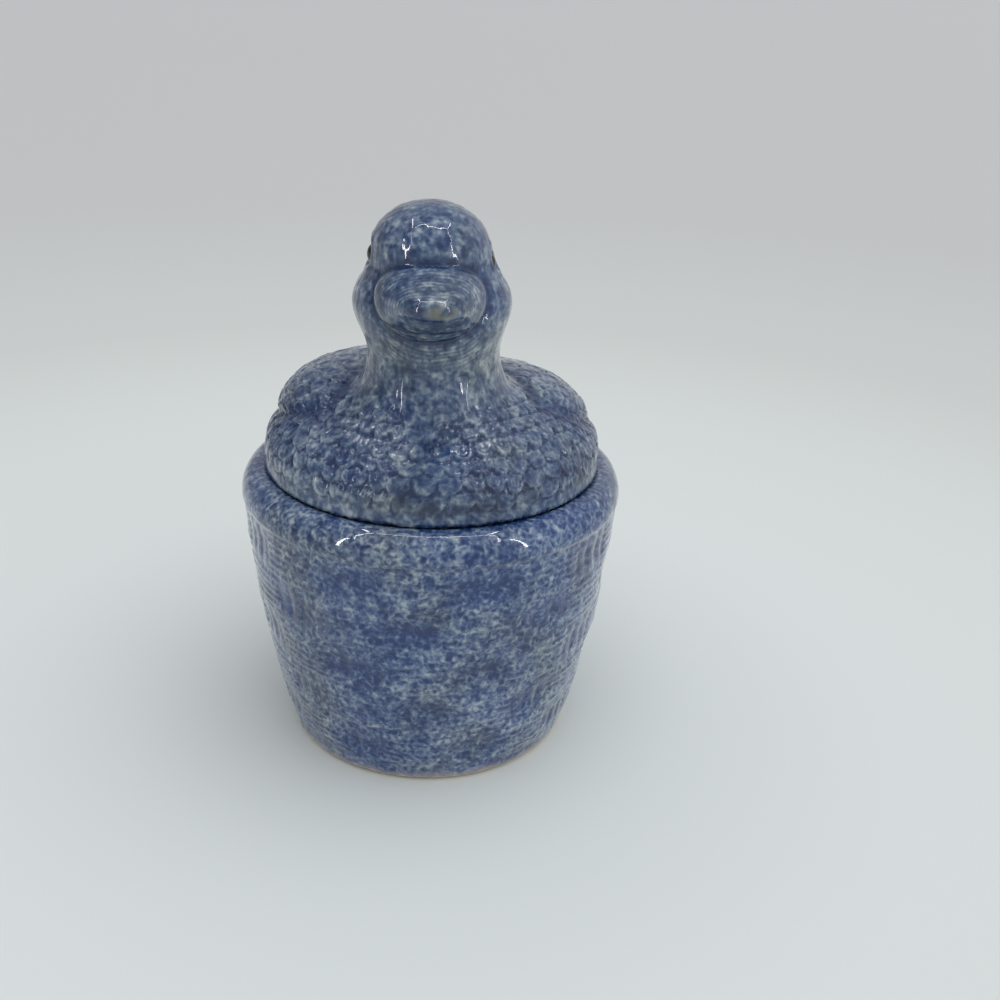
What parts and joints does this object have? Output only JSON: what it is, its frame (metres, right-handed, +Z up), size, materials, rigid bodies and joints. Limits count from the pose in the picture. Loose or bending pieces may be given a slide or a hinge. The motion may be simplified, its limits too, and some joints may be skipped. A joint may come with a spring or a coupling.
{
  "type": "duck trinket box",
  "caption": "Round covered box: a basket-weave ceramic bowl with a rolled collar, closed by a lift-off hollow lid modelled as a sitting duck.",
  "frame": {"origin": "middle of the foot ring, on the surface the box stands on", "axes": "+Z up through the lid, the duck faces -Y, its left side is +X"},
  "size_m": [0.0858, 0.086, 0.1254],
  "materials": {
    "bowl_glaze": "glossy mottled blue glaze, unglazed buff foot",
    "lid_glaze": "glossy mottled blue glaze over carved feathers",
    "eye_enamel": "glossy dark brown enamel"
  },
  "bodies": {
    "bowl": {"basket_bowl": "bowl_glaze"},
    "lid": {"duck_lid": "lid_glaze", "right_eye": "eye_enamel", "left_eye": "eye_enamel"}
  },
  "joints": [
    {"name": "lid_lift", "type": "slide", "parent": "bowl", "child": "lid", "axis": [0, 0, 1], "range_m": [0, 0.08]}
  ]
}
